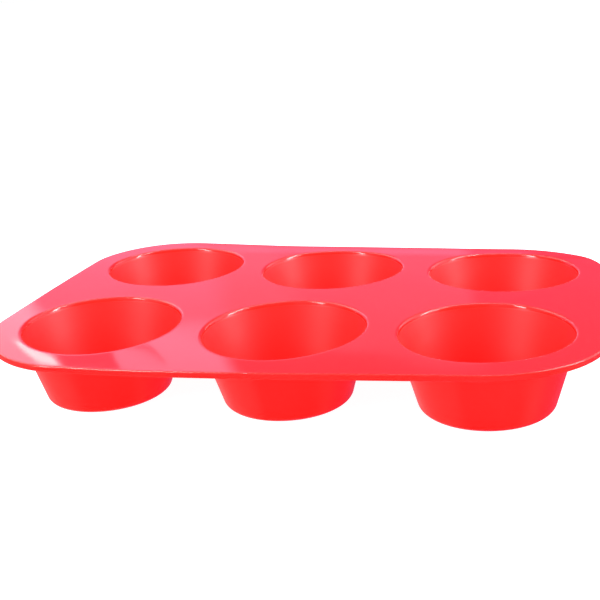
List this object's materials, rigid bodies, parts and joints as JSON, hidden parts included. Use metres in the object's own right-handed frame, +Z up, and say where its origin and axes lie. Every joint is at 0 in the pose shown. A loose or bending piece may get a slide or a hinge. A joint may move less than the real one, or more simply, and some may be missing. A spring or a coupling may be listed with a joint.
{
  "type": "muffin mould",
  "caption": "Shallow silicone baking mould: round tapered cups with rounded lips hang from one flat deck with large rounded corners and a thicker rim.",
  "frame": {"origin": "centre of the footprint, on the plane that the undersides of the cups stand on", "axes": "+X along a row of three cups, +Y from the front row to the back row, +Z up out of the cups' mouths"},
  "size_m": [0.266, 0.188, 0.032],
  "materials": {
    "silicone": "gloss"
  },
  "bodies": {
    "root": {"deck": "silicone", "edge_bead": "silicone", "cup_front_left": "silicone", "cup_front_middle": "silicone", "cup_front_right": "silicone", "cup_back_left": "silicone", "cup_back_middle": "silicone", "cup_back_right": "silicone"}
  },
  "joints": []
}
